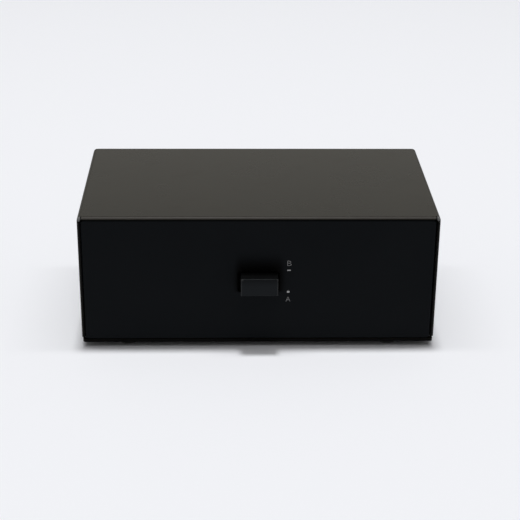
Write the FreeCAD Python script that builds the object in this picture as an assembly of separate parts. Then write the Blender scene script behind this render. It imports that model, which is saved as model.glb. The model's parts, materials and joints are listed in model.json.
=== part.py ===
"""A two-way speaker selector switch: a folded steel case with one latching push-button on the
front, and three four-way spring-clip terminal blocks on the rear.

Millimetres. The origin is on the floor under the middle of the case. +X is to the right seen
from the front, +Y is towards the rear, and +Z is up.
"""

import FreeCAD
import Part
import math
import os

V = FreeCAD.Vector

# Case
case_width = 203.2
case_depth = 114.3
cover_height = 76.2
end_reach = 7.7             # how far the button and the levers stand out of the case's ends

# Cover: a folded sheet with narrow folded edges round its front and rear openings
cover_sheet = 1.2
cover_bend = 1.5            # outer radius of the folds
cover_edge = 1.7            # width of the folded edges
shoulder = 2.5              # outer radius of the bends between the top and the sides
cover_lip = 11.0            # width of the bottom lips that the base plate screws to
cover_lip_length = 80.0
cover_lift = 0.5            # the sides stop short of the base plate
relief_width = 0.5          # slits in the folds, in and under each shoulder
relief_depth = 1.6
relief_inset = 2.2          # from the sides
relief_drop = 2.8           # from the top
notch_height = 0.9          # notches at the lower ends of the side folds
notch_depth = 3.0

# Base plate
base_sheet = 1.6
base_inset = 0.5
base_corner = 1.5
lip_screw_y = 30.0
flange_screw_x = 36.0

# Front and rear panels
panel_sheet = 1.0
panel_bend = 1.2
panel_recess = 0.3
panel_flange = 14.0
panel_gap = 0.3
panel_gap_left = 0.1        # the front panel is a little narrow and sits to the left
panel_gap_right = 0.4

# Feet
foot_height = 3.5
foot_radius = 6.35
foot_taper = 0.6
foot_inset_x = 26.0
foot_inset_y = 10.0
foot_recess_radius = 3.6
foot_recess_depth = 2.2
foot_edge = 0.5

# Selector button, its rod and its place
axis_x = 0.3
axis_below_middle = 0.9     # the button and the switch, under the middle of the case
button_width = 21.1
button_height = 10.4
button_depth = 15.0
button_wall = 1.5
button_corner = 0.5
button_edge = 0.35
button_gap = 1.4            # round the button, in an opening that is central in the front panel
button_travel = 4.0
skirt_margin = 2.6
skirt_thickness = 1.2
skirt_gap = 1.5             # behind the front panel
boss_width = 8.0
rod_width = 5.0
rod_socket_width = 7.4
rod_socket_depth = 8.0
rod_insert = 10.0           # length of rod inside the button's boss

# Push-push switch
switch_width = 16.0
switch_height = 14.0
switch_length = 24.0
switch_back_wall = 2.0
cavity_width = 9.0
cavity_height = 7.0
slider_gap = 0.4
slider_length = 14.45
neck_width = 6.0
neck_height = 4.8
neck_length = 5.55
stem_width = 4.0
frame_sheet = 0.8
frame_arm_length = 11.0
frame_arm_width = 8.0
running_gap = 0.3
peg_radius = 1.2
peg_length = 2.5
spring_radius = 2.2
spring_wire = 0.5
spring_turns = 5

# Latch: a bent wire whose tip runs in a heart-shaped track on top of the slider
latch_wire = 0.7
latch_length = 8.0
latch_swing = 0.15          # radians at full travel
latch_pivot = 3.25          # behind the housing's front
latch_hole_gap = 0.05
track_depth = 1.0
latch_slot_width = 5.2
latch_slot_start = 1.75
latch_slot_length = 11.5

# Contacts of the switch
terminal_width = 1.2
terminal_height = 0.8
terminal_sheet = 0.5
terminal_first = 4.75       # behind the housing's front
terminal_row = 2.0          # above and below the axis
terminal_step = 1.6         # between the tails of one row
bridge_length = 6.0
bridge_height = 1.6
bridge_seat = 0.4
bridge_proud = 0.2

# Circuit board
board_thickness = 1.6
board_margin = 3.0          # above the upper chambers and below the lower ones
tail_proud = 1.2
tail_hole_gap = 0.05
solder_height = 0.8
solder_spread = 0.2
spacer_radius = 3.0
spacer_gap = 7.75           # from the end of block A or B to the spacer's axis
spacer_inset = 6.0          # from the spacer's axis to the board's end
spacer_inset_z = 9.0

# Terminal blocks
block_depth = 10.2          # behind the rear panel's face
block_inset = 56.6          # middle of blocks A and B, from the sides of the case
block_rise = 19.5           # above and below the case's middle
ways = 4
way_pitch = 10.5
way_width = 9.0
ear_width = 7.0
block_height = 22.0
ear_thickness = 2.0
ear_corner = 2.0
raised_height = 20.0
raised_depth = 5.0
raised_side = 2.0
body_height = 18.5
body_side = 1.0
block_edge = 0.4
block_back_wall = 3.0
cutout_gap = 0.3
pocket_floor = 9.0          # below the block's middle
pocket_top = 3.2            # above it
chamber_top = 8.5
front_wall = 3.0
wire_radius = 1.6
wire_height = 6.2
wire_lead_in = 0.6

# Levers
lever_gap = 0.4
lever_pivot_depth = 3.2
lever_pivot_height = -7.0
lever_boss_radius = 1.6
hinge_radius = 0.8
hinge_gap = 0.05
lever_top = 1.8
lever_tab_height = 2.0
lever_edge = 0.4

# Springs and contacts of the blocks
leaf_sheet = 0.4
leaf_width = 6.0
strip_sheet = 0.5
strip_width = 5.0
strip_tail = 1.0
strip_reach = 1.6

# Screws and nuts
screw_radius = 1.45
screw_clearance = 0.15
thread_gap = 0.02
head_radius = 2.8
head_height = 1.9
recess_width = 0.8
recess_span = 3.2
recess_depth = 1.0
nut_radius = 3.1
nut_height = 2.4
screw_bite = 3.4            # thread beyond the last sheet

# Levels and planes that follow from these sizes
base_bottom = foot_height
base_top = base_bottom + base_sheet
case_top = base_top + cover_height
half_width = case_width / 2
half_depth = case_depth / 2
inner_half_width = half_width - cover_sheet
opening_half_width = half_width - cover_edge
opening_top = case_top - cover_edge
case_middle_z = (base_bottom + case_top) / 2
axis_z = case_middle_z - axis_below_middle

front_face = -half_depth + panel_recess
front_inside = front_face + panel_sheet
rear_face = half_depth - panel_recess
rear_inside = rear_face - panel_sheet

way_names = ("left_plus", "left_minus", "right_plus", "right_minus")
way_offsets = [(i - (ways - 1) / 2) * way_pitch for i in range(ways)]
cells_half_width = (ways - 1) / 2 * way_pitch + way_width / 2
body_half_width = cells_half_width + body_side
raised_half_width = cells_half_width + raised_side
ear_screw_offset = raised_half_width + ear_width / 2
block_half_width = raised_half_width + ear_width
block_spacing = half_width - block_inset
block_places = {
    "a": (-block_spacing, case_middle_z + block_rise),
    "b": (block_spacing, case_middle_z + block_rise),
    "common": (0.0, case_middle_z - block_rise),
}
lever_tip_depth = half_depth + end_reach - rear_face

board_back = rear_face - block_depth
board_front = board_back - board_thickness
spacer_x = block_spacing + block_half_width + spacer_gap
board_width = 2 * (spacer_x + spacer_inset)
board_height = 2 * (block_rise + chamber_top + board_margin)
spacer_z = board_height / 2 - spacer_inset_z

housing_front = board_front - switch_length
frame_front = housing_front - frame_sheet
slider_front = housing_front + running_gap
slider_back = slider_front + slider_length
slider_width = cavity_width - 2 * slider_gap
slider_height = cavity_height - 2 * slider_gap
cavity_back = board_front - switch_back_wall
neck_front = slider_front - neck_length
stem_front = neck_front - rod_socket_depth
button_tip = -half_depth - end_reach

slider_top = axis_z + slider_height / 2
housing_top = axis_z + switch_height / 2
latch_pivot_y = housing_front + latch_pivot
latch_tip_y = latch_pivot_y + latch_length
latch_wire_z = (axis_z + cavity_height / 2 + housing_top) / 2


# Basic shapes

def block(x0, x1, y0, y1, z0, z1):
    return Part.makeBox(x1 - x0, y1 - y0, z1 - z0, V(x0, y0, z0))


def bar(x, z, width, height, y0, y1):
    """A rectangular bar along Y about the line through (x, z)."""
    return block(x - width / 2, x + width / 2, y0, y1, z - height / 2, z + height / 2)


def rod(radius, start, end):
    axis = end - start
    return Part.makeCylinder(radius, axis.Length, start, axis)


def prism(corners, x0, x1):
    """An outline of (y, z) corners, extruded along X."""
    outline = Part.makePolygon([V(x0, y, z) for y, z in corners + corners[:1]])
    return Part.Face(outline).extrude(V(x1 - x0, 0, 0))


def plate_outline(corners, z0, z1):
    """An outline of (x, y) corners, extruded along Z."""
    outline = Part.makePolygon([V(x, y, z0) for x, y in corners + corners[:1]])
    return Part.Face(outline).extrude(V(0, 0, z1 - z0))


def strip(points, sheet, x0, x1):
    """A bent strip along X whose middle line runs through the (y, z) points."""
    pieces = []
    for (y0, z0), (y1, z1) in zip(points, points[1:]):
        length = math.hypot(y1 - y0, z1 - z0)
        ny = -(z1 - z0) / length * sheet / 2
        nz = (y1 - y0) / length * sheet / 2
        pieces.append(prism(
            [(y0 + ny, z0 + nz), (y1 + ny, z1 + nz), (y1 - ny, z1 - nz), (y0 - ny, z0 - nz)],
            x0, x1))
    for y, z in points[1:-1]:
        pieces.append(rod(sheet / 2, V(x0, y, z), V(x1, y, z)))
    return pieces[0].multiFuse(pieces[1:]).removeSplitter()


def edges_at(shape, **place):
    """The edges whose ends both have the given coordinates."""
    return [
        edge for edge in shape.Edges
        if all(abs(getattr(end.Point, axis) - value) < 1e-6
               for end in edge.Vertexes for axis, value in place.items())
    ]


def rounded(shape, radius, *places):
    edges = [edge for place in places for edge in edges_at(shape, **place)]
    return shape.makeFillet(radius, edges)


def hole_x(x0, x1, y, z, radius):
    return rod(radius, V(x0, y, z), V(x1, y, z))


def hole_y(x, y0, y1, z, radius):
    return rod(radius, V(x, y0, z), V(x, y1, z))


def hole_z(x, y, z0, z1, radius):
    return rod(radius, V(x, y, z0), V(x, y, z1))


def with_mirrors(shape, *normals):
    """The shape and its mirror images in the planes through the Z axis with these normals."""
    shapes = [shape]
    for normal in normals:
        shapes += [s.mirror(V(0, 0, 0), normal) for s in shapes]
    return shapes


X, Y, Z = V(1, 0, 0), V(0, 1, 0), V(0, 0, 1)


# Fasteners

def placed(shape, at, direction):
    moved = shape.copy()
    moved.Placement = FreeCAD.Placement(at, FreeCAD.Rotation(Z, direction))
    return moved


def pan_screw(length, at, direction):
    """A cross-recessed screw. Its head sits on `at` and faces `direction`."""
    head = Part.makeCylinder(head_radius, head_height)
    head = head.makeFillet(head_height * 0.55, edges_at(head, z=head_height))
    shank = Part.makeCylinder(screw_radius, length, V(0, 0, -length))
    screw = head.fuse(shank)
    for along, across in ((recess_span, recess_width), (recess_width, recess_span)):
        screw = screw.cut(block(-along / 2, along / 2, -across / 2, across / 2,
                                head_height - recess_depth, head_height + 1))
    return placed(screw, at, direction)


def hex_nut(at, direction):
    corners = [(nut_radius * math.cos(math.radians(60 * i)), nut_radius * math.sin(math.radians(60 * i)))
               for i in range(6)]
    nut = plate_outline(corners, 0, nut_height)
    nut = nut.cut(hole_z(0, 0, -1, nut_height + 1, screw_radius + thread_gap))
    return placed(nut, at, direction)


# Case

def cover_form(half_x, half_y, low, top, shoulder_radius, fold_radius):
    """A block with rounded shoulders, and with rounded front and rear edges all the way round to its foot."""
    form = block(-half_x, half_x, -half_y, half_y, low, top)
    form = rounded(form, shoulder_radius, {"x": -half_x, "z": top}, {"x": half_x, "z": top})
    ends = edges_at(form, y=-half_y) + edges_at(form, y=half_y)
    return form.makeFillet(fold_radius, [edge for edge in ends if edge.BoundBox.ZMax > low + 1e-6])


def cover():
    low = base_top + cover_lift
    shell = cover_form(half_width, half_depth, low, case_top, shoulder, cover_bend)
    shell = shell.cut(cover_form(inner_half_width, half_depth - cover_sheet, low - 1, case_top - cover_sheet,
                                 shoulder - cover_sheet, cover_bend - cover_sheet))
    opening = block(-opening_half_width, opening_half_width, -half_depth - 1, half_depth + 1,
                    low - 1, opening_top)
    shell = shell.cut(rounded(opening, shoulder - cover_edge, {"x": -opening_half_width, "z": opening_top},
                              {"x": opening_half_width, "z": opening_top}))
    shell = shell.cut(block(-half_width, half_width, -cover_lip_length / 2, cover_lip_length / 2,
                            low, base_top + 2 * cover_bend))
    front, fold_back = -half_depth - 1, -half_depth + relief_depth
    slit_x, slit_z = half_width - relief_inset, case_top - relief_drop
    upper_slit = block(slit_x - relief_width, slit_x, front, fold_back, slit_z, case_top + 1)
    side_slit = block(opening_half_width - 1, half_width + 1, front, fold_back,
                      slit_z - relief_width, slit_z)
    notch = block(opening_half_width - 1, half_width + 1, front, -half_depth + notch_depth,
                  low - 1, low + notch_height)
    for relief in (upper_slit, side_slit, notch):
        for gap in with_mirrors(relief, X, Y):
            shell = shell.cut(gap)
    return shell.fuse(bottom_lips()).removeSplitter()


def bottom_lips():
    """The folded lips under the two sides, each with two tapped holes."""
    half_length = cover_lip_length / 2
    low = base_top
    high = low + 2 * cover_bend
    outer = block(half_width - cover_lip, half_width, -half_length, half_length, low, high)
    outer = rounded(outer, cover_bend, {"x": half_width, "z": low})
    inner = block(half_width - cover_lip - 1, inner_half_width, -half_length - 1, half_length + 1,
                  low + cover_sheet, high + 1)
    inner = rounded(inner, cover_bend - cover_sheet, {"x": inner_half_width, "z": low + cover_sheet})
    lip = outer.cut(inner)
    for y in (-lip_screw_y, lip_screw_y):
        lip = lip.cut(hole_z(lip_screw_x(), y, low - 1, low + cover_sheet + 1, screw_radius + thread_gap))
    return with_mirrors(lip, X)


def lip_screw_x():
    return inner_half_width - (cover_lip - cover_sheet) / 2


def flange_screw_y():
    return -rear_face + panel_flange / 2


def feet_places():
    x, y = half_width - foot_inset_x, half_depth - foot_inset_y
    return {"front_left": (-x, -y), "front_right": (x, -y), "rear_left": (-x, y), "rear_right": (x, y)}


def base_screw_places():
    x, y = lip_screw_x(), lip_screw_y
    places = [(-x, -y), (x, -y), (-x, y), (x, y)]
    x, y = flange_screw_x, flange_screw_y()
    return places + [(-x, y), (x, y), (-x, -y), (x, -y)]


def base_plate():
    x, y = half_width - base_inset, half_depth
    plate = block(-x, x, -y, y, base_bottom, base_top)
    plate = rounded(plate, base_corner, {"x": -x, "y": -y}, {"x": x, "y": -y},
                    {"x": -x, "y": y}, {"x": x, "y": y})
    for px, py in base_screw_places() + list(feet_places().values()):
        plate = plate.cut(hole_z(px, py, base_bottom - 1, base_top + 1, screw_radius + screw_clearance))
    return plate


def folded_panel(left, right):
    """A panel facing the front, with all four edges folded back and its corners relieved."""
    back = front_face + panel_flange
    top = opening_top - panel_gap
    outer = block(left, right, front_face, back, base_top, top)
    outer = rounded(outer, panel_bend,
                    {"x": left, "y": front_face}, {"x": right, "y": front_face},
                    {"y": front_face, "z": base_top}, {"y": front_face, "z": top})
    low, high = base_top + panel_sheet, top - panel_sheet
    x0, x1 = left + panel_sheet, right - panel_sheet
    inner = block(x0, x1, front_inside, back + 1, low, high)
    inner = rounded(inner, panel_bend - panel_sheet,
                    {"x": x0, "y": front_inside}, {"x": x1, "y": front_inside},
                    {"y": front_inside, "z": low}, {"y": front_inside, "z": high})
    panel = outer.cut(inner)
    for x in (left, right):
        for z in (base_top, top):
            corner = block(x - panel_bend, x + panel_bend, front_face - 1, back + 1,
                           z - panel_bend, z + panel_bend)
            panel = panel.cut(corner)
    for x in (-flange_screw_x, flange_screw_x):
        panel = panel.cut(hole_z(x, flange_screw_y(), base_top - 1, low + 1, screw_radius + thread_gap))
    for x, y in (place for name, place in feet_places().items() if name.startswith("front")):
        panel = panel.cut(hole_z(x, y, base_top - 1, low + 1, screw_radius + thread_gap))
    return panel


def front_panel():
    left, right = -opening_half_width + panel_gap_left, opening_half_width - panel_gap_right
    panel = folded_panel(left, right)
    middle = (left + right) / 2
    width, height = button_width + 2 * button_gap, button_height + 2 * button_gap
    opening = bar(middle, axis_z, width, height, front_face - 1, front_inside + 1)
    x0, x1 = middle - width / 2, middle + width / 2
    z0, z1 = axis_z - height / 2, axis_z + height / 2
    opening = rounded(opening, button_corner + button_gap,
                      {"x": x0, "z": z0}, {"x": x0, "z": z1}, {"x": x1, "z": z0}, {"x": x1, "z": z1})
    return panel.cut(opening)


def rear_panel():
    half = opening_half_width - panel_gap
    panel = folded_panel(-half, half).mirror(V(0, 0, 0), Y)
    y0, y1 = rear_inside - 1, rear_face + 1
    width, height = 2 * (body_half_width + cutout_gap), body_height + 2 * cutout_gap
    for x, z in block_places.values():
        panel = panel.cut(bar(x, z, width, height, y0, y1))
    for x, z in ear_places() + spacer_places():
        panel = panel.cut(hole_y(x, y0, y1, z, screw_radius + screw_clearance))
    return panel


def base_screws():
    length = base_sheet + max(cover_sheet, panel_sheet) + screw_bite / 2
    return [pan_screw(length, V(x, y, base_bottom), -Z) for x, y in base_screw_places()]


def foot(x, y):
    pad = Part.makeCone(foot_radius - foot_taper, foot_radius, foot_height, V(x, y, 0))
    pad = pad.makeFillet(foot_edge, [edge for edge in edges_at(pad, z=0) if edge.Length > foot_radius])
    pad = pad.cut(hole_z(x, y, -1, foot_recess_depth, foot_recess_radius))
    return pad.cut(hole_z(x, y, -1, foot_height + 1, screw_radius + screw_clearance))


def foot_screws():
    length = foot_height - foot_recess_depth + base_sheet + panel_sheet + screw_bite / 2
    return [pan_screw(length, V(x, y, foot_recess_depth), -Z) for x, y in feet_places().values()]


# Selector button and rod

def push_button():
    x, z = axis_x, axis_z
    back = button_tip + button_depth
    cap = bar(x, z, button_width, button_height, button_tip, back)
    x0, x1 = x - button_width / 2, x + button_width / 2
    z0, z1 = z - button_height / 2, z + button_height / 2
    cap = rounded(cap, button_corner,
                  {"x": x0, "z": z0}, {"x": x0, "z": z1}, {"x": x1, "z": z0}, {"x": x1, "z": z1})
    cap = cap.makeFillet(button_edge, edges_at(cap, y=button_tip))
    skirt_front = front_inside + skirt_gap
    cap = cap.fuse(bar(x, z, button_width + 2 * skirt_margin, button_height + 2 * skirt_margin,
                       skirt_front, skirt_front + skirt_thickness))
    cap = cap.cut(bar(x, z, button_width - 2 * button_wall, button_height - 2 * button_wall,
                      button_tip + button_wall, back + 1))
    boss = bar(x, z, boss_width, button_height - button_wall, button_tip + button_wall, back)
    return cap.fuse(boss).cut(bar(x, z, rod_width, rod_width, back - rod_insert, back + 1)).removeSplitter()


def extension_rod():
    front = button_tip + button_depth - rod_insert
    shaft = bar(axis_x, axis_z, rod_width, rod_width, front, neck_front)
    socket = bar(axis_x, axis_z, rod_socket_width, rod_socket_width,
                 stem_front - rod_socket_width / 4, neck_front)
    return shaft.fuse(socket).cut(bar(axis_x, axis_z, stem_width, stem_width, stem_front, neck_front + 1))


# Push-push switch

def switch_housing():
    housing = bar(axis_x, axis_z, switch_width, switch_height, housing_front, board_front)
    housing = housing.cut(bar(axis_x, axis_z, cavity_width, cavity_height, housing_front - 1, cavity_back))
    slot_start = housing_front + latch_slot_start
    housing = housing.cut(block(axis_x - latch_slot_width / 2, axis_x + latch_slot_width / 2,
                                slot_start, slot_start + latch_slot_length, axis_z, housing_top + 1))
    for side, row, place in terminal_places():
        housing = housing.cut(terminal_pad(side, row, place))
    return housing


def switch_frame():
    """The metal clip over the housing's front, with an arm above and one below."""
    plate = bar(axis_x, axis_z, switch_width, switch_height + 2 * frame_sheet, frame_front, housing_front)
    pieces = []
    for side in (-1, 1):
        middle = axis_z + side * (switch_height + frame_sheet) / 2
        pieces.append(bar(axis_x, middle, frame_arm_width, frame_sheet,
                          frame_front, housing_front + frame_arm_length))
    frame = plate.multiFuse(pieces).removeSplitter()
    frame = frame.cut(bar(axis_x, axis_z, neck_width + 2 * slider_gap, neck_height + 2 * slider_gap,
                          frame_front - 1, housing_front + 1))
    return frame.cut(hole_z(axis_x, latch_pivot_y, housing_top - 1, housing_top + frame_sheet + 1,
                            latch_wire / 2 + latch_hole_gap))


def slider():
    body = bar(axis_x, axis_z, slider_width, slider_height, slider_front, slider_back)
    neck = bar(axis_x, axis_z, neck_width, neck_height, neck_front, slider_front)
    stem = bar(axis_x, axis_z, stem_width, stem_width, stem_front, neck_front)
    peg = hole_y(axis_x, slider_back, slider_back + peg_length, axis_z, peg_radius)
    body = body.multiFuse([neck, stem, peg]).cut(latch_track())
    for piece in sliding_contacts():
        body = body.cut(piece)
    return body


def latch_track():
    """The heart-shaped track: a shallow pocket with an island that the pin's tip passes on the right."""
    reach = latch_length * math.sin(latch_swing)
    margin = latch_wire / 2 + running_gap
    low, high = slider_top - track_depth, slider_top + 1
    x, y = axis_x, latch_tip_y
    pocket = block(x - 2 * reach, x + reach + 2 * margin,
                   y - button_travel - 2 * margin, y + margin, low, high)
    lobe = reach - 1.1 * margin
    island = plate_outline(
        [(x + 0.4 * reach - 1.3 * margin, y - 0.4 * button_travel),
         (x + lobe, y - button_travel),
         (x + lobe - 0.8 * reach, y - 0.8 * button_travel),
         (x + lobe - 1.5 * reach, y - button_travel)], low - 1, high + 1)
    return pocket.cut(island)


def latch_pin():
    """A pivot leg up through the frame, a run along the slot, and a tip down into the track."""
    radius = latch_wire / 2
    start = V(axis_x, latch_pivot_y, latch_wire_z)
    end = V(axis_x, latch_tip_y, latch_wire_z)
    tip_end = slider_top - track_depth + running_gap
    pieces = [rod(radius, start, V(start.x, start.y, housing_top + frame_sheet)),
              rod(radius, V(end.x, end.y, tip_end), end)]
    pieces += [Part.makeSphere(radius, corner) for corner in (start, end)]
    return rod(radius, start, end).multiFuse(pieces)


def return_spring():
    """A coil on the slider's peg, between the slider and the housing's back wall."""
    front = slider_back + spring_wire / 2
    length = cavity_back - front - spring_wire / 2
    path = Part.Wire(Part.makeHelix(length / spring_turns, length, spring_radius))
    section = Part.Wire(Part.makeCircle(spring_wire / 2, V(spring_radius, 0, 0), Y))
    coil = path.makePipeShell([section], True, True)
    return placed(coil, V(axis_x, front, axis_z), Y)


# Contacts of the switch

def terminal_places():
    """Side, row, and place along the switch of each of the fixed terminals."""
    return [(side, row, place) for side in (-1, 1) for row in (-1, 1) for place in range(3)]


def terminal_y(place):
    return housing_front + terminal_first + place * button_travel


def sided(side, near, far):
    """The two x values at these distances from the switch's axis, on one side, in order."""
    return sorted((axis_x + side * near, axis_x + side * far))


def terminal_pad(side, row, place):
    x0, x1 = sided(side, cavity_width / 2, switch_width / 2 + terminal_sheet)
    y, z = terminal_y(place), axis_z + row * terminal_row
    return block(x0, x1, y - terminal_width / 2, y + terminal_width / 2,
                 z - terminal_height / 2, z + terminal_height / 2)


def tail_z(row, place):
    return axis_z + row * (terminal_row + terminal_step * (2 - place))


def switch_terminal(side, row, place):
    """A contact pad in the housing's wall, a riser outside it, and a tail through the board."""
    x0, x1 = sided(side, switch_width / 2, switch_width / 2 + terminal_sheet)
    y = terminal_y(place)
    z0, z1 = sorted((axis_z + row * terminal_row, tail_z(row, place)))
    half = terminal_height / 2
    riser = block(x0, x1, y - terminal_width / 2, y + terminal_width / 2, z0 - half, z1 + half)
    tail = block(x0, x1, y - terminal_width / 2, board_back + tail_proud,
                 tail_z(row, place) - half, tail_z(row, place) + half)
    return terminal_pad(side, row, place).multiFuse([riser, tail]).removeSplitter()


def sliding_contacts():
    """One bridge per pole, seated in the slider's sides, over the first two pads at rest."""
    middle = (terminal_y(0) + terminal_y(1)) / 2
    bridges = []
    for side in (-1, 1):
        x0, x1 = sided(side, slider_width / 2 - bridge_seat, slider_width / 2 + bridge_proud)
        for row in (-1, 1):
            z = axis_z + row * terminal_row
            bridges.append(block(x0, x1, middle - bridge_length / 2, middle + bridge_length / 2,
                                 z - bridge_height / 2, z + bridge_height / 2))
    return bridges


# Circuit board

def spacer_places():
    return [(sx * spacer_x, case_middle_z + sz * spacer_z) for sx in (-1, 1) for sz in (-1, 1)]


def switch_tail_places():
    middle = switch_width / 2 + terminal_sheet / 2
    return [(axis_x + side * middle, tail_z(row, place)) for side, row, place in terminal_places()]


def strip_tail_places():
    z = chamber_top - strip_sheet / 2
    return [(bx + dx, bz + z) for bx, bz in block_places.values() for dx in way_offsets]


def tail_radius(width, height):
    return math.hypot(width, height) / 2


def circuit_board():
    board = bar(0, case_middle_z, board_width, board_height, board_front, board_back)
    y0, y1 = board_front - 1, board_back + 1
    holes = [(x, z, screw_radius + screw_clearance) for x, z in spacer_places()]
    holes += [(x, z, tail_radius(terminal_sheet, terminal_height) + tail_hole_gap)
              for x, z in switch_tail_places()]
    holes += [(x, z, tail_radius(strip_tail, strip_sheet) + tail_hole_gap) for x, z in strip_tail_places()]
    for x, z, radius in holes:
        board = board.cut(hole_y(x, y0, y1, z, radius))
    return board


def solder_joint(x, z, y, facing, tail_width, tail_height):
    """A cone of solder on one face of the board, round a tail."""
    top = tail_radius(tail_width, tail_height)
    cone = Part.makeCone(top + solder_spread, top, solder_height, V(x, y, z), V(0, facing, 0))
    y0, y1 = sorted((y - facing, y + 2 * facing))
    return cone.cut(bar(x, z, tail_width, tail_height, y0, y1))


def solder_joints():
    joints = [solder_joint(x, z, board_back, 1, terminal_sheet, terminal_height)
              for x, z in switch_tail_places()]
    return joints + [solder_joint(x, z, board_front, -1, strip_tail, strip_sheet)
                     for x, z in strip_tail_places()]


def board_spacer(x, z):
    spacer = hole_y(x, board_back, rear_inside, z, spacer_radius)
    return spacer.cut(hole_y(x, board_back - 1, rear_inside + 1, z, screw_radius + thread_gap))


def board_screws():
    return [pan_screw(board_thickness + screw_bite, V(x, board_front, z), -Y) for x, z in spacer_places()]


def spacer_screws():
    return [pan_screw(panel_sheet + screw_bite, V(x, rear_face, z), Y) for x, z in spacer_places()]


# Spring-clip terminal blocks

def clip_block(x, z):
    """The housing: an eared flange on the panel, a raised face, and a body through the cut-out."""
    y = rear_face
    flange = bar(x, z, 2 * block_half_width, block_height, y, y + ear_thickness)
    corners = [{"x": x + sx * block_half_width, "z": z + sz * block_height / 2}
               for sx in (-1, 1) for sz in (-1, 1)]
    flange = rounded(flange, ear_corner, *corners)
    raised = bar(x, z, 2 * raised_half_width, raised_height, y, y + raised_depth)
    raised = raised.makeChamfer(block_edge, edges_at(raised, y=y + raised_depth))
    body = bar(x, z, 2 * body_half_width, body_height, board_back, y)
    housing = flange.multiFuse([raised, body]).removeSplitter()
    inner = board_back + block_back_wall
    for offset in way_offsets:
        x0, x1 = x + offset - way_width / 2, x + offset + way_width / 2
        pocket = block(x0, x1, inner, y + raised_depth + 1, z - pocket_floor, z + pocket_top)
        chamber = block(x0, x1, inner, y + raised_depth - front_wall, z, z + chamber_top)
        housing = housing.cut(pocket.fuse(chamber))
        mouth = y + raised_depth
        entry = hole_y(x + offset, y, mouth + 1, z + wire_height, wire_radius)
        lead_in = Part.makeCone(wire_radius, wire_radius + wire_lead_in, wire_lead_in,
                                V(x + offset, mouth - wire_lead_in, z + wire_height), Y)
        housing = housing.cut(entry.fuse(lead_in))
        housing = housing.cut(contact_strip(x + offset, z))
    for side in (-1, 1):
        housing = housing.cut(hole_y(x + side * ear_screw_offset, y - 1, y + ear_thickness + 1, z,
                                     screw_radius + screw_clearance))
    return housing.cut(hinge_bore(x, z, hinge_radius + thread_gap))


def hinge_bore(x, z, radius):
    """Open at one side of the raised face, and blind at the other."""
    return hole_x(x - body_half_width, x + raised_half_width,
                  rear_face + lever_pivot_depth, z + lever_pivot_height, radius)


def hinge_pin(x, z):
    return hinge_bore(x, z, hinge_radius)


def lever(x, z):
    """A flap on the hinge pin. Its tab stands out under the wire hole and is pressed inwards."""
    y = rear_face
    pivot_y, pivot_z = y + lever_pivot_depth, z + lever_pivot_height
    r = lever_boss_radius
    half = way_width / 2 - lever_gap
    tab_low = z + lever_top - lever_edge - lever_tab_height
    outline = [
        (pivot_y - r, pivot_z), (pivot_y - r, z - r), (pivot_y - r / 2, z + lever_top),
        (y + raised_depth + lever_edge, z + lever_top),
        (y + lever_tip_depth, z + lever_top - lever_edge), (y + lever_tip_depth, tab_low),
        (y + raised_depth + lever_edge, tab_low - lever_tab_height), (pivot_y + r, pivot_z)]
    flap = prism(outline, x - half, x + half)
    flap = flap.makeFillet(lever_edge, edges_at(flap, y=y + lever_tip_depth))
    flap = flap.fuse(hole_x(x - half, x + half, pivot_y, pivot_z, r))
    return flap.cut(hole_x(x - half - 1, x + half + 1, pivot_y, pivot_z, hinge_radius + hinge_gap))


def clip_spring(x, z):
    """A bent leaf, anchored on the back wall, whose free end closes the wire hole behind the lever."""
    back = board_back + block_back_wall + leaf_sheet / 2
    floor = z - pocket_floor + leaf_sheet
    lever_back = rear_face + lever_pivot_depth - lever_boss_radius
    free_y = lever_back - running_gap - leaf_sheet
    points = [
        (back, z + wire_height), (back, floor + 2 * leaf_sheet),
        (back + 2 * leaf_sheet, floor), (back + 5 * leaf_sheet, floor),
        (free_y, z), (free_y - leaf_sheet, z + chamber_top - 3 * leaf_sheet)]
    return strip(points, leaf_sheet, x - leaf_width / 2, x + leaf_width / 2)


def contact_strip(x, z):
    """A strip under the chamber's roof, with a tail through the back wall and the board."""
    low, high = z + chamber_top - strip_sheet, z + chamber_top
    plate = block(x - strip_width / 2, x + strip_width / 2,
                  board_back + block_back_wall, rear_face + strip_reach, low, high)
    tail = block(x - strip_tail / 2, x + strip_tail / 2, board_front - tail_proud,
                 board_back + block_back_wall, low, high)
    return plate.fuse(tail).removeSplitter()


def ear_places():
    return [(x + side * ear_screw_offset, z) for x, z in block_places.values() for side in (-1, 1)]


def block_screws():
    length = ear_thickness + panel_sheet + nut_height + 1
    return [pan_screw(length, V(x, rear_face + ear_thickness, z), Y) for x, z in ear_places()]


def block_nuts():
    return [hex_nut(V(x, rear_inside - nut_height, z), Y) for x, z in ear_places()]


# The assembly

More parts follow.
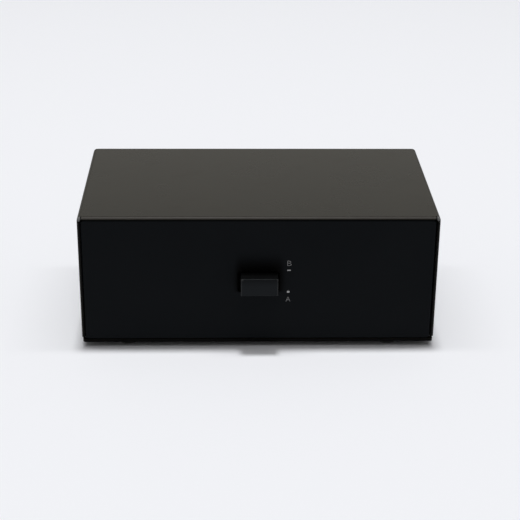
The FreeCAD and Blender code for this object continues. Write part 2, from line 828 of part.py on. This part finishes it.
def all_parts():
    """Each node's name, and its solid or group of solids."""
    parts = {
        "cover": cover(), "base_plate": base_plate(),
        "front_panel": front_panel(), "rear_panel": rear_panel(),
        "base_screws": base_screws(), "foot_screws": foot_screws(),
        "push_button": push_button(), "extension_rod": extension_rod(),
        "switch_housing": switch_housing(), "switch_frame": switch_frame(), "switch_slider": slider(),
        "sliding_contacts": sliding_contacts(), "return_spring": return_spring(), "latch_pin": latch_pin(),
        "switch_terminals": [switch_terminal(*place) for place in terminal_places()],
        "circuit_board": circuit_board(), "solder_joints": solder_joints(),
        "board_spacers": [board_spacer(x, z) for x, z in spacer_places()],
        "board_screws": board_screws(), "spacer_screws": spacer_screws(),
        "block_screws": block_screws(), "block_nuts": block_nuts(),
    }
    for name, (x, y) in feet_places().items():
        parts["foot_" + name] = foot(x, y)
    for name, (x, z) in block_places.items():
        parts["clip_block_" + name] = clip_block(x, z)
        parts["hinge_pin_" + name] = hinge_pin(x, z)
        parts["clip_springs_" + name] = [clip_spring(x + offset, z) for offset in way_offsets]
        parts["contact_strips_" + name] = [contact_strip(x + offset, z) for offset in way_offsets]
        for way, offset in zip(way_names, way_offsets):
            parts[f"lever_{name}_{way}"] = lever(x + offset, z)
    return parts


def main():
    os.makedirs("parts", exist_ok=True)
    for name, piece in all_parts().items():
        shape = Part.makeCompound(piece) if isinstance(piece, list) else piece
        shape.exportStep(f"parts/{name}.step")


if __name__ == "__main__":
    main()
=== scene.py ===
"""The looks of a two-way speaker selector: its finishes and legend, the floor, light and camera.

Metres. The origin is on the floor under the middle of the case. +X is to the right seen from the
front, +Y is towards the rear, and +Z is up. The finishes and the legend are measured in
millimetres.
"""

import json
import math

import bmesh
import bpy
from mathutils import Matrix, Vector


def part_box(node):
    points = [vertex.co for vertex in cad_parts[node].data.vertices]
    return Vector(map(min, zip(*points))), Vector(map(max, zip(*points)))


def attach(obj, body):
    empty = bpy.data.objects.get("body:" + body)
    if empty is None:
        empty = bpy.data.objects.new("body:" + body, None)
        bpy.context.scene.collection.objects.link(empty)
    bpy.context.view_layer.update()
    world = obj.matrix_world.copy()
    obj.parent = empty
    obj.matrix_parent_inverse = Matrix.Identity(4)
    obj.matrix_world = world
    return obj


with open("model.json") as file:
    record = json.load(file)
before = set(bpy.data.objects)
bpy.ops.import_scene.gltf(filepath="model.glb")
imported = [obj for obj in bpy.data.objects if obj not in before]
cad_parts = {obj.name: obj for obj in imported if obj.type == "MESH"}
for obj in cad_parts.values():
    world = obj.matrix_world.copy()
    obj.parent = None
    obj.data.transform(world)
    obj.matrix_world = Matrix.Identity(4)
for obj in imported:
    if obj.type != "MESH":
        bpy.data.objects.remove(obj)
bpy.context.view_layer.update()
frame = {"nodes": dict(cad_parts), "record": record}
nodes = frame["nodes"]

MM = 0.001


# Shader kit

class Value:
    """A number that changes over the surface. Sums, products and powers add their nodes."""

    def __init__(self, graph, socket):
        self.graph = graph
        self.socket = socket

    def maths(self, operation, *values):
        return self.graph.add("ShaderNodeMath", {"operation": operation}, dict(enumerate(values)))

    def __add__(self, other):
        return self.maths("ADD", self, other)

    def __radd__(self, other):
        return self.maths("ADD", other, self)

    def __sub__(self, other):
        return self.maths("SUBTRACT", self, other)

    def __rsub__(self, other):
        return self.maths("SUBTRACT", other, self)

    def __mul__(self, other):
        return self.maths("MULTIPLY", self, other)

    def __rmul__(self, other):
        return self.maths("MULTIPLY", other, self)

    def __pow__(self, power):
        return self.maths("POWER", self, power)

    def __lt__(self, other):
        return self.maths("LESS_THAN", self, other)

    def __abs__(self):
        return self.maths("ABSOLUTE", self)

    def past(self, limit):
        """How far it is over the limit, and 0 below it."""
        return self.maths("MAXIMUM", self - limit, 0.0)

    def swing(self, width):
        """Made of a value from 0 to 1: as uneven, but about 0 and over the given width."""
        return (self - 0.5) * width

    def between(self, low, high):
        """0 below low, 1 above high, and smooth between them."""
        return self.graph.add(
            "ShaderNodeMapRange", {"interpolation_type": "SMOOTHSTEP"},
            {"Value": self, "From Min": low, "From Max": high, "To Min": 0.0, "To Max": 1.0})


class Graph:
    """The shader nodes of a material or a world."""

    def __init__(self, owner):
        owner.use_nodes = True
        self.tree = owner.node_tree
        self.tree.nodes.clear()

    def add(self, kind, settings=None, sockets=None, output=0):
        """Adds a node: its settings first, then the values or links of its sockets."""
        made = self.tree.nodes.new(kind)
        for name, value in (settings or {}).items():
            setattr(made, name, value)
        for key, value in (sockets or {}).items():
            if isinstance(value, Value):
                self.tree.links.new(value.socket, made.inputs[key])
            else:
                made.inputs[key].default_value = value
        if made.outputs:
            return Value(self, made.outputs[output])

    def seen(self):
        """1 where it is looked at, straight or in a shiny or clear thing, and 0 where it lights."""
        straight, shiny, clear = (self.add("ShaderNodeLightPath", output=f"Is {kind} Ray")
                                  for kind in ("Camera", "Glossy", "Transmission"))
        return straight.maths("MAXIMUM", straight, shiny.maths("MAXIMUM", shiny, clear))


class Finish(Graph):
    """A material in the making. Its patterns are placed by the object's own millimetres."""

    def __init__(self, name):
        self.material = bpy.data.materials.new(name)
        super().__init__(self.material)
        place = self.add("ShaderNodeTexCoord", output="Object")
        self.place = self.add("ShaderNodeVectorMath", {"operation": "SCALE"},
                              {0: place, "Scale": 1 / MM})

    def along(self, axis):
        """The place along X, Y or Z, in millimetres."""
        return self.add("ShaderNodeSeparateXYZ", None, {0: self.place}, output=axis)

    def facing(self, axis):
        """How far the surface faces along X, Y or Z, from -1 to 1."""
        normal = self.add("ShaderNodeNewGeometry", output="Normal")
        return self.add("ShaderNodeSeparateXYZ", None, {0: normal}, output=axis)

    def stretched(self, x=1.0, y=1.0, z=1.0, shift=0.0):
        """The place for a pattern that is drawn out along each axis whose factor is below 1."""
        return self.add("ShaderNodeVectorMath", {"operation": "MULTIPLY_ADD"},
                        {0: self.place, 1: (x, y, z), 2: (shift, shift, shift)})

    def noise(self, size, detail=2.0, place=None):
        """Soft cloudy noise from 0 to 1 with features of the given size."""
        return self.add("ShaderNodeTexNoise", None,
                        {"Vector": place or self.place, "Scale": 1 / size, "Detail": detail})

    def specks(self, spacing, radius, share):
        """1 in small round spots, in a share of the cells of the given spacing."""
        sockets = {"Vector": self.place, "Scale": 1 / spacing}
        near = self.add("ShaderNodeTexVoronoi", None, sockets, output="Distance")
        chance = self.add("ShaderNodeTexVoronoi", None, sockets, output="Color")
        chance = self.add("ShaderNodeSeparateColor", None, {0: chance}, output=0)
        size = radius / spacing
        return (1 - near.between(size * 0.6, size)) * (chance < share)

    def mix(self, share, first, second):
        """A colour between two colours."""
        return self.add("ShaderNodeMix", {"data_type": "RGBA"}, {0: share, 6: first, 7: second},
                        output=2)

    def relief(self, height, depth):
        """A normal from a height of 0 to 1 that stands for the given depth in millimetres."""
        return self.add("ShaderNodeBump", None,
                        {"Height": height, "Strength": 1.0, "Distance": depth * MM})

    def skin(self, **sockets):
        """The shader, with its sockets named in lower case."""
        named = {"IOR" if name == "ior" else name.replace("_", " ").title(): value
                 for name, value in sockets.items()}
        return self.add("ShaderNodeBsdfPrincipled", None, named)

    def surface(self, share=None, under=None, **sockets):
        """Ends the finish. A share of 0 to 1 says where its skin gives way to the one under it."""
        skin = self.skin(**sockets)
        if under:
            skin = self.add("ShaderNodeMixShader", None, {0: share, 1: skin, 2: under})
        self.add("ShaderNodeOutputMaterial", None, {"Surface": skin})
        return self.material


def grey(value, warm=0.0):
    """A grey, a little warm or cool, as a colour."""
    return (value * (1 + warm), value, value * (1 - warm), 1.0)


# Where the case and the button carry painted highlights and painted shade, and where the cover's
# bends are duller, in millimetres

FOLD = 1.5                      # outer radius of the cover's folds round its two openings
SHOULDER = 2.5                  # outer radius of the bends between its top and its sides
case_side, case_front, case_top = (abs(corner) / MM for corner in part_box("cover")[1])
UPPER_FOLD = (case_top - SHOULDER, case_top - SHOULDER + 0.6)
FLAT_ON = (0.96, 0.995)         # how far a face looks along an axis once it is no longer bent

FLANGE = 2.6                    # of the button, behind the front panel, past each side of its cap
flange_low, flange_high = (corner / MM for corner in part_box("push_button"))
cap_left, cap_right = flange_low.x + FLANGE, flange_high.x - FLANGE
cap_low, cap_top = flange_low.z + FLANGE, flange_high.z - FLANGE
PANEL_SHEET = 1.0
panel_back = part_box("front_panel")[0].y / MM + PANEL_SHEET


def painted_fold_highlight(finish):
    """Painted highlight along the bends round the two openings: strong along the top and faint at
    the sides.
    """
    on_fold = abs(finish.along("Y")).between(case_front - FOLD * 0.8, case_front - FOLD * 0.5)
    on_lip = abs(finish.facing("Y")).between(*FLAT_ON)
    on_top = finish.along("Z").between(*UPPER_FOLD)
    faint = 0.12
    patchy = 0.8 + finish.noise(2.5) * 0.4
    return on_fold * (1 - on_lip) * (faint + on_top * (1 - faint)) * patchy


def painted_tip_highlights(finish):
    """Painted highlights on the four upper corners of the cover, where the bends meet."""
    at_end = abs(finish.along("Y")).between(case_front - FOLD * 1.2, case_front - FOLD * 0.6)
    at_side = abs(finish.along("X")).between(case_side - SHOULDER, case_side - SHOULDER * 0.6)
    at_top = finish.along("Z").between(case_top - SHOULDER * 1.2, case_top - SHOULDER * 0.7)
    return at_end * at_side * at_top


def painted_edge_shade(finish):
    """Painted shade on the upright and lower edges of the cover, where they face the front or the
    rear.
    """
    below = 1 - finish.along("Z").between(*UPPER_FOLD)
    return abs(finish.facing("Y")).between(0.3, 0.8) * below


def dull_shoulders(finish):
    """The bends between the top and the sides, where the paint is stretched and a little duller."""
    sideways = abs(finish.facing("X"))
    return sideways.between(0.05, 0.3) * (1 - sideways.between(*FLAT_ON))


def painted_ring_shade(finish):
    """A painted shade round the button's opening, most of it above."""
    inner, outer = 2.0, 14.0
    closer_aside, closer_below = 2.8, 7.0
    x, z = finish.along("X"), finish.along("Z")
    aside = (x.past(cap_right) + (cap_left - x).past(0.0)) * closer_aside
    above, below = z.past(cap_top), (cap_low - z).past(0.0) * closer_below
    away = (aside ** 2 + above ** 2 + below ** 2) ** 0.5
    return 1 - away.between(inner, outer)


def on_button_face(finish):
    """1 where the button looks ahead, and 0 on its sides."""
    return 1 - finish.facing("Y").between(-0.6, -0.2)


def painted_side_highlights(finish):
    """Painted highlights on the two upright edges of the button's face."""
    inner, outer = 0.8, 0.5
    x = finish.along("X")
    at_left = 1 - x.between(cap_left + outer, cap_left + inner)
    at_right = x.between(cap_right - inner, cap_right - outer)
    return (at_left + at_right) * on_button_face(finish)


def painted_corner_highlights(finish):
    """Painted highlights on the ends of its upper edge, brighter than those on its sides. The left
    one reaches further in.
    """
    x, z = finish.along("X"), finish.along("Z")
    at_left = 1 - x.between(cap_left + 0.8, cap_left + 1.8)
    at_right = x.between(cap_right - 0.8, cap_right - 0.5)
    at_top = z.between(cap_top - 1.6, cap_top - 0.4)
    return (at_left + at_right) * at_top * on_button_face(finish)


def painted_button_shade(finish):
    """Painted shade: all of the button's flange inside the case, and a little of the upper part of
    its cap.
    """
    inside = finish.along("Y").between(panel_back - 0.4, panel_back + 0.4)
    upper = finish.along("Z").between(cap_top - 5.0, cap_top + 0.5)
    return inside + (1 - inside) * upper * 0.45


# Finishes

def baked_paint(name, dark, pale, roughness, shine, ior, peel=0.006, fold_highlight=None, ring_shade=None):
    """Black stoving paint on sheet steel: fine orange peel, faint clouds in the gloss, some dust.

    Its shine is low face on and full at a glancing angle. The cover's has a painted highlight of
    the given colour along the bends round its openings, brighter ones on its upper corners and
    painted shade on its lower and upright edges; the front panel's has a painted shade of the given
    colour round the button.
    """
    finish = Finish(name)
    clouds = finish.noise(45.0, detail=3.0)
    smudges = finish.noise(14.0, 4.0, finish.stretched(z=0.55, shift=37.0)).between(0.55, 0.75)
    skin = finish.noise(0.9, detail=3.0)
    on_top = finish.facing("Z").between(0.3, 0.9)
    dust = finish.specks(spacing=9.0, radius=0.16, share=0.35) * on_top
    nibs = finish.specks(spacing=13.0, radius=0.10, share=0.3)
    colour = finish.mix(clouds.between(0.3, 0.7), dark, pale)
    colour = finish.mix(dust * 0.3 + nibs * 0.12, colour, grey(0.22))
    roughness = roughness + clouds.swing(0.08) + smudges * 0.03 + dust * 0.3
    # Painted shade on the cover's lower and upright edges, a painted highlight along its bends and
    # brighter ones on its upper corners.
    if fold_highlight:
        colour = finish.mix(painted_edge_shade(finish), colour, grey(0.0006))
        colour = finish.mix(painted_fold_highlight(finish), colour, fold_highlight)
        colour = finish.mix(painted_tip_highlights(finish), colour, grey(0.15))
        roughness = roughness + dull_shoulders(finish) * 0.18
    # Painted shade round the button.
    if ring_shade:
        colour = finish.mix(painted_ring_shade(finish), colour, ring_shade)
    return finish.surface(
        base_color=colour,
        roughness=roughness,
        ior=ior,
        specular_tint=shine,
        normal=finish.relief(skin + nibs * 1.5, peel))


def moulded(name, dark, pale, roughness, shine, grain=0.25, depth=0.006, edge_highlight=None, inside=None):
    """Moulded plastic with a fine spark-eroded grain and faint flow marks.

    The button's has painted highlights of one colour on the edges of its face, and a painted shade,
    matt and of another colour, on its flange inside the case and the top of its cap.
    """
    finish = Finish(name)
    flow = finish.noise(6.0, 2.0, finish.stretched(y=0.35, shift=11.0))
    texture = finish.noise(grain)
    colour = finish.mix(flow.between(0.3, 0.75), dark, pale)
    share = shade_skin = None
    # Painted highlights on the edges of the button's face.
    if edge_highlight:
        colour = finish.mix(painted_side_highlights(finish), colour, edge_highlight)
        colour = finish.mix(painted_corner_highlights(finish), colour, grey(0.05))
    # Painted shade: a matt dark skin on the flange inside the case and on the top of the cap.
    if inside:
        share = painted_button_shade(finish)
        shade_skin = finish.skin(base_color=inside, roughness=0.9, specular_tint=grey(0.05))
    return finish.surface(
        share, shade_skin,
        base_color=colour,
        roughness=roughness + flow.swing(0.08) + texture.swing(0.1),
        ior=1.45,
        specular_tint=shine,
        normal=finish.relief(texture, depth))


def rubber(name):
    """Black rubber with a faint grey bloom and a little dust."""
    finish = Finish(name)
    bloom = finish.noise(3.0, detail=4.0)
    texture = finish.noise(0.35, detail=3.0)
    dust = finish.specks(spacing=1.6, radius=0.14, share=0.5)
    colour = finish.mix(bloom.between(0.35, 0.75), grey(0.012), grey(0.026))
    colour = finish.mix(dust * 0.25, colour, grey(0.2, warm=0.05))
    return finish.surface(
        base_color=colour,
        roughness=0.75 + bloom.swing(0.15),
        ior=1.4,
        normal=finish.relief(texture, 0.02))


def plated(name, colour, stain, roughness, stretch=(1.0, 1.0, 1.0), size=0.35, depth=0.003):
    """Plated or bright metal with fine draw marks and faint stains."""
    finish = Finish(name)
    marks = finish.noise(size, 3.0, finish.stretched(*stretch, shift=5.0))
    stains = finish.noise(4.0, detail=3.0)
    return finish.surface(
        base_color=finish.mix(stains.between(0.4, 0.75), colour, stain),
        metallic=1.0,
        roughness=roughness + marks.swing(0.16) + stains.swing(0.1),
        normal=finish.relief(marks, depth))


def black_oxide(name):
    """Blackened steel, worn a little paler in places."""
    finish = Finish(name)
    wear = finish.noise(1.1, detail=4.0)
    marks = finish.noise(0.3)
    return finish.surface(
        base_color=finish.mix(wear.between(0.55, 0.8), grey(0.02), grey(0.07, warm=0.04)),
        metallic=0.6,
        roughness=0.38 + wear.swing(0.2),
        normal=finish.relief(marks, 0.006))


def paper_board(name):
    """Brown phenolic board with faint fibres and darker clouds."""
    finish = Finish(name)
    fibres = finish.noise(0.8, 4.0, finish.stretched(x=0.15, shift=3.0))
    clouds = finish.noise(9.0).between(0.45, 0.7)
    colour = finish.mix(fibres.between(0.3, 0.7), (0.30, 0.17, 0.06, 1.0), (0.42, 0.26, 0.10, 1.0))
    return finish.surface(
        base_color=finish.mix(clouds * 0.4, colour, (0.36, 0.20, 0.07, 1.0)),
        roughness=0.45 + fibres.swing(0.15),
        ior=1.45,
        normal=finish.relief(fibres, 0.01))


def printed(name, ink):
    """Screen-printed ink: matt, with a slightly uneven coat."""
    finish = Finish(name)
    coat = finish.noise(0.35, detail=3.0)
    thin = grey(ink * 0.75)
    return finish.surface(
        base_color=finish.mix(coat.between(0.35, 0.65) * 0.3, grey(ink), thin),
        roughness=0.6 + coat.swing(0.1),
        ior=1.4,
        normal=finish.relief(coat, 0.004))


PANEL_LOOK = dict(
    dark=(0.0056, 0.0066, 0.0078, 1.0), pale=(0.0062, 0.0072, 0.0084, 1.0),
    roughness=0.42, shine=grey(0.08), ior=1.3, peel=0.003)
# The front panel's paint has a painted shade round the button.
front_paint = baked_paint("front_panel_paint", **PANEL_LOOK, ring_shade=grey(0.0003))
rear_paint = baked_paint("rear_panel_paint", **PANEL_LOOK)
legend_ink = printed("legend_ink", 0.42)
letter_ink = printed("letter_ink", 0.20)

FINISH_OF_SLOT = {
    # The cover's paint has a painted highlight of a pale warm grey along its bends, and painted
    # shade and corner highlights.
    "case_paint": baked_paint(
        "cover_paint", dark=(0.0078, 0.0071, 0.0045, 1.0), pale=(0.0104, 0.0095, 0.0063, 1.0),
        roughness=0.28, shine=grey(0.41), ior=1.18, fold_highlight=(0.064, 0.060, 0.055, 1.0)),
    # The button's has painted highlights on its face's edges and a painted shade inside the case
    # and on its top.
    "button_plastic": moulded(
        "button_moulding", dark=grey(0.0022, warm=-0.1), pale=grey(0.0032, warm=-0.1),
        roughness=0.32, shine=(0.27, 0.30, 0.33, 1.0), edge_highlight=grey(0.02), inside=grey(0.0008)),
    "block_plastic": moulded(
        "block_moulding", dark=grey(0.010), pale=grey(0.016),
        roughness=0.42, shine=grey(0.7), grain=0.3, depth=0.01),
    "lever_red": moulded(
        "red_lever", dark=(0.42, 0.010, 0.008, 1.0), pale=(0.52, 0.016, 0.012, 1.0),
        roughness=0.26, shine=grey(1.0), grain=0.5, depth=0.002),
    "lever_black": moulded(
        "black_lever", dark=grey(0.008), pale=grey(0.012),
        roughness=0.26, shine=grey(0.8), grain=0.5, depth=0.002),
    "foot_rubber": rubber("foot_rubber"),
    "switch_plastic": moulded(
        "switch_moulding", dark=grey(0.02), pale=grey(0.03), roughness=0.4, shine=grey(1.0)),
    "rod_plastic": moulded(
        "rod_moulding", dark=grey(0.016), pale=grey(0.022), roughness=0.42, shine=grey(1.0)),
    "slider_plastic": moulded(
        "slider_moulding", dark=grey(0.62, warm=0.05), pale=grey(0.72, warm=0.05),
        roughness=0.42, shine=grey(1.0)),
    "zinc_steel": plated(
        "zinc_plate", colour=grey(0.62, warm=0.01), stain=grey(0.5, warm=0.05), roughness=0.34),
    "spring_steel": plated(
        "spring_steel", colour=grey(0.58), stain=grey(0.46, warm=0.03),
        roughness=0.26, stretch=(0.1, 1.0, 1.0)),
    "contact_brass": plated(
        "contact_brass", colour=(0.68, 0.50, 0.22, 1.0), stain=(0.50, 0.34, 0.14, 1.0),
        roughness=0.3),
    "solder": plated(
        "solder", colour=grey(0.6), stain=grey(0.48), roughness=0.3, size=0.9, depth=0.01),
    "black_screw": black_oxide("black_oxide"),
    "board": paper_board("paper_board"),
}
FINISH_OF_NODE = {"front_panel": front_paint, "rear_panel": rear_paint}
slot_of = {part["node"]: part["material_slot"] for part in frame["record"]["subparts"]}
for name, part in nodes.items():
    part.data.materials.clear()
    part.data.materials.append(FINISH_OF_NODE.get(name) or FINISH_OF_SLOT[slot_of[name]])


# Legend

INK = 0.03 * MM                 # the print stands out of its panel as far as it reaches in
OUTWARD = Matrix.Rotation(math.radians(90), 4, "X")
FRONT = (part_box("front_panel")[0].y + INK, OUTWARD)
REAR = (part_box("rear_panel")[1].y - INK, Matrix.Rotation(math.radians(180), 4, "Z") @ OUTWARD)
THIN = -0.013                   # off each side of a letter's strokes, of a letter 1 high


def as_piece(name, mesh, finish):
    """Makes a named piece that rides on the case."""
    piece = bpy.data.objects.new(name, mesh)
    bpy.context.scene.collection.objects.link(piece)
    mesh.materials.clear()
    mesh.materials.append(finish)
    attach(piece, "case")


def letter_mesh(text, width, height, weight=0.0):
    """Flat lettering in the XY plane, centred, of the given size in millimetres."""
    curve = bpy.data.curves.new("letter", "FONT")
    curve.body = text
    curve.offset = weight
    curve.resolution_u = 6
    lettering = bpy.data.objects.new("lettering", curve)
    bpy.context.scene.collection.objects.link(lettering)
    bpy.context.view_layer.update()
    mesh = bpy.data.meshes.new_from_object(lettering.evaluated_get(
        bpy.context.evaluated_depsgraph_get()))
    bpy.data.objects.remove(lettering)
    return fitted(mesh, width, height)


def fitted(mesh, width, height):
    """Brings a flat outline to the given size, and its middle to the origin."""
    xs = [v.co.x for v in mesh.vertices]
    ys = [v.co.y for v in mesh.vertices]
    middle = Vector(((min(xs) + max(xs)) / 2, (min(ys) + max(ys)) / 2, 0))
    scale = Matrix.Diagonal((width * MM / (max(xs) - min(xs)), height * MM / (max(ys) - min(ys)),
                             1, 1))
    mesh.transform(scale @ Matrix.Translation(-middle))
    return mesh


def rounded_mark(width, height, radius, steps=6):
    """A flat bar or block with rounded corners, in millimetres."""
    corners = []
    for sx, sy, start in ((1, 1, 0), (-1, 1, 90), (-1, -1, 180), (1, -1, 270)):
        for step in range(steps + 1):
            angle = math.radians(start + 90 * step / steps)
            corners.append(((sx * (width / 2 - radius) + radius * math.cos(angle)) * MM,
                            (sy * (height / 2 - radius) + radius * math.sin(angle)) * MM, 0))
    mesh = bpy.data.meshes.new("mark")
    mesh.from_pydata(corners, [], [list(range(len(corners)))])
    return mesh


def raised(mesh, thickness):
    """Gives a flat outline its thickness of ink."""
    work = bmesh.new()
    work.from_mesh(mesh)
    bmesh.ops.remove_doubles(work, verts=work.verts, dist=1e-7)
    made = bmesh.ops.extrude_face_region(work, geom=work.faces[:])
    for item in made["geom"]:
        if isinstance(item, bmesh.types.BMVert):
            item.co.z += thickness
    bmesh.ops.recalc_face_normals(work, faces=work.faces[:])
    work.to_mesh(mesh)
    work.free()


def print_on(panel, name, mesh, ink, x, z):
    """Prints a flat outline on the front or rear panel, with its middle at x and z."""
    face, turn = panel
    raised(mesh, INK * 2)
    mesh.transform(Matrix.Translation((x * MM, face, z * MM)) @ turn)
    as_piece(name, mesh, ink)


print_on(FRONT, "legend_letter_b", letter_mesh("B", 2.4, 3.1, THIN), letter_ink, 17.25, 53.0)
print_on(FRONT, "legend_mark_in", rounded_mark(2.1, 0.65, 0.3), legend_ink, 17.1, 48.7)
print_on(FRONT, "legend_mark_out", rounded_mark(1.5, 1.2, 0.4), legend_ink, 16.85, 35.2)
print_on(FRONT, "legend_letter_a", letter_mesh("A", 2.7, 3.0, THIN), letter_ink, 16.8, 30.6)

LEVER_STEP = 10.5               # from one lever of a terminal block to the next
ROW_ABOVE = 2.3                 # from the top of the block to the middle of the marks

for block in ("a", "b", "common"):
    block_low, block_high = (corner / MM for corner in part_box(f"clip_block_{block}"))
    middle, row = (block_low.x + block_high.x) / 2, block_high.z + ROW_ABOVE
    for side, letter, away in (("left", "L", -1), ("right", "R", 1)):
        for name, mark, step in (("side", letter_mesh(letter, 1.5, 2.0), 0),
                                 ("plus", letter_mesh("+", 1.7, 1.7), -LEVER_STEP / 2),
                                 ("minus", rounded_mark(1.7, 0.4, 0.15), LEVER_STEP / 2)):
            print_on(REAR, f"legend_{block}_{side}_{name}", mark, legend_ink,
                     middle + away * LEVER_STEP + step, row)
print_on(REAR, "legend_pair_a", letter_mesh("A", 4.0, 4.4), legend_ink, -9.0, 61.9)
print_on(REAR, "legend_pair_b", letter_mesh("B", 3.5, 4.5), legend_ink, 9.0, 61.9)
print_on(REAR, "legend_in", letter_mesh("IN", 4.2, 3.2), legend_ink, 0.0, 41.5)


# Floor, light and camera

FLOOR_PALE = (0.905, 0.915, 0.95, 1.0)
FLOOR_REACH = 8.0
FLOOR_FADE = (1000, 2200)       # millimetres from the middle, where it turns into the backdrop
ABOVE = (0, 0.18, 4)            # a little behind the middle of the case
AHEAD = (0, -2.0, 3.6)

LENS = 95.3466                  # millimetres, on a sensor 36 wide
EYE = (-0.019313, -0.764844, 0.374045)
PITCH_DOWN, YAW, ROLL = 24.2428, -1.6104, -0.5639


def floor():
    """Pale, with the object's shadow. Far from the object it fades into an even backdrop."""
    mesh = bpy.data.meshes.new("floor")
    corners = [(x * FLOOR_REACH, y * FLOOR_REACH, 0)
               for x, y in ((-1, -1), (1, -1), (1, 1), (-1, 1))]
    mesh.from_pydata(corners, [], [(0, 1, 2, 3)])
    ground = bpy.data.objects.new("floor", mesh)
    bpy.context.scene.collection.objects.link(ground)
    finish = Finish("pale_floor")
    away = (finish.along("X") ** 2 + finish.along("Y") ** 2) ** 0.5
    backdrop = finish.add("ShaderNodeEmission", None, {"Color": FLOOR_PALE, "Strength": 0.97})
    mesh.materials.append(finish.surface(
        finish.seen() * away.between(*FLOOR_FADE), backdrop,
        base_color=FLOOR_PALE, roughness=0.9, ior=1.3))


def sky():
    """Even light all round: a strength for what it lights, and a brighter one where it is seen."""
    world = bpy.data.worlds.new("studio")
    bpy.context.scene.world = world
    graph = Graph(world)
    lit = graph.add("ShaderNodeBackground", None, {"Color": grey(1.0), "Strength": 0.18})
    shown = graph.add("ShaderNodeBackground", None,
                      {"Color": (1.0, 0.972, 0.905, 1.0), "Strength": 0.92})
    both = graph.add("ShaderNodeMixShader", None, {0: graph.seen(), 1: lit, 2: shown})
    graph.add("ShaderNodeOutputWorld", None, {"Surface": both})


def soft_box(name, place, width, depth, watts):
    """A rectangular lamp that shines at the middle of the floor under the case."""
    lamp = bpy.data.lights.new(name, "AREA")
    lamp.shape = "RECTANGLE"
    lamp.size, lamp.size_y = width, depth
    lamp.energy = watts
    stand = bpy.data.objects.new(name, lamp)
    stand.location = place
    stand.rotation_mode = "QUATERNION"
    stand.rotation_quaternion = (-Vector(place)).to_track_quat("-Z", "Y")
    bpy.context.scene.collection.objects.link(stand)


def camera():
    """Looks at the front from a little above and to the left."""
    lens = bpy.data.cameras.new("camera")
    lens.sensor_width = 36.0
    lens.lens = LENS
    turn = (Matrix.Rotation(math.radians(YAW), 3, "Z")
            @ Matrix.Rotation(math.radians(-PITCH_DOWN), 3, "X")
            @ Matrix.Rotation(math.radians(ROLL), 3, "Y"))
    right, ahead, up = turn.col
    place = Matrix((right, up, -ahead)).transposed().to_4x4()
    place.translation = EYE
    stand = bpy.data.objects.new("camera", lens)
    stand.matrix_world = place
    bpy.context.scene.collection.objects.link(stand)
    bpy.context.scene.camera = stand


floor()
sky()
soft_box("overhead_lamp", ABOVE, width=0.42, depth=0.36, watts=71)
soft_box("overhead_strip", ABOVE, width=4.6, depth=0.36, watts=51)
soft_box("front_lamp", AHEAD, width=1.2, depth=1.6, watts=17)
camera()
bpy.context.scene.view_settings.view_transform = "Standard"
